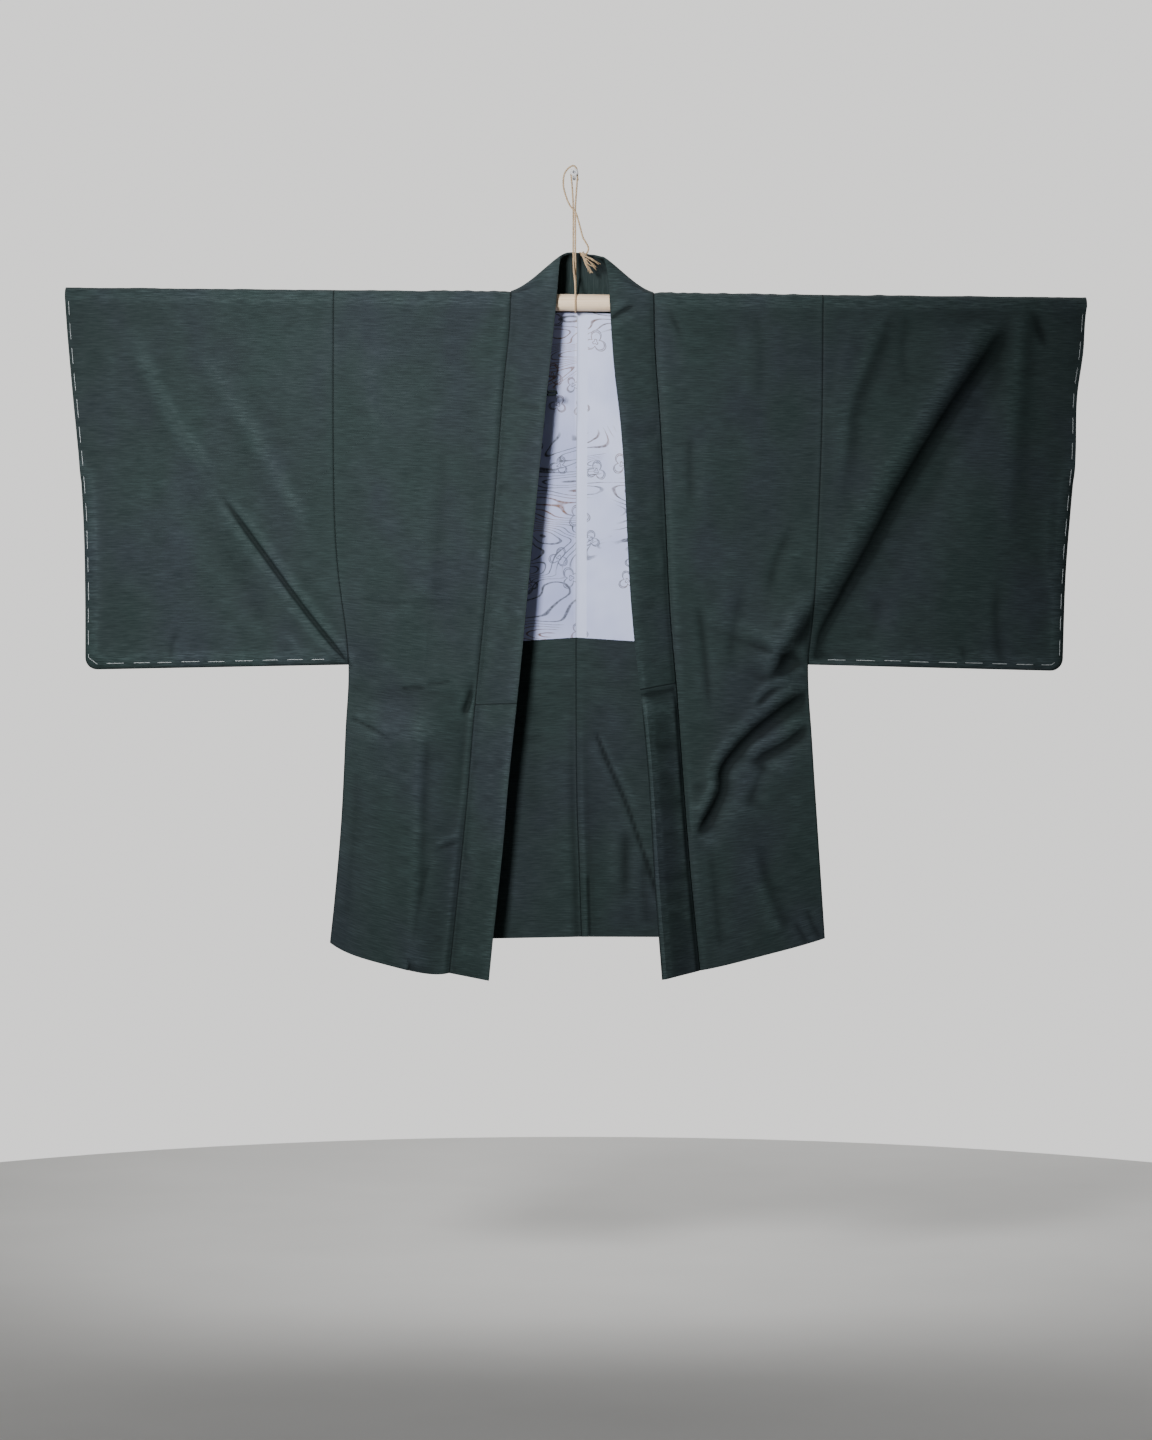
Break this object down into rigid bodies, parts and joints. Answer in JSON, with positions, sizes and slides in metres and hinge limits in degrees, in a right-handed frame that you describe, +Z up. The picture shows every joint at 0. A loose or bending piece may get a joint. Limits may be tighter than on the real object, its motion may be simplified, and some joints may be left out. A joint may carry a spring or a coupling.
{
  "type": "haori jacket garment on a hanging rod",
  "caption": "Lined hip-length jacket with wide square sleeves and a flat collar band, hung flat on a wooden rod by a loop of twine from a wall screw.",
  "frame": {"origin": "where the screw's axis meets the plane of the wall", "axes": "+Z up, +Y into the wall, +X to the viewer's right"},
  "size_m": [1.3135, 0.083, 1.0546],
  "materials": {
    "silk": "matt slubbed silk",
    "lining": "smooth printed silk",
    "rod_wood": "bare pale wood",
    "twine": "twisted plant fibre",
    "screw_paint": "white paint"
  },
  "bodies": {
    "root": {"sleeve_left_front": "silk", "sleeve_left_back": "silk", "sleeve_right_front": "silk", "sleeve_right_back": "silk", "front_left": "silk", "front_right": "silk", "back_left": "silk", "back_right": "silk", "gusset_left": "silk", "gusset_right": "silk", "collar": "silk", "collar_end_left": "silk", "collar_end_right": "silk", "cord_loop_left": "silk", "cord_loop_right": "silk", "lining_left": "lining", "lining_right": "lining", "rod": "rod_wood", "wall_screw": "screw_paint", "twine_loop": "twine", "twine_tail": "twine"}
  },
  "joints": []
}
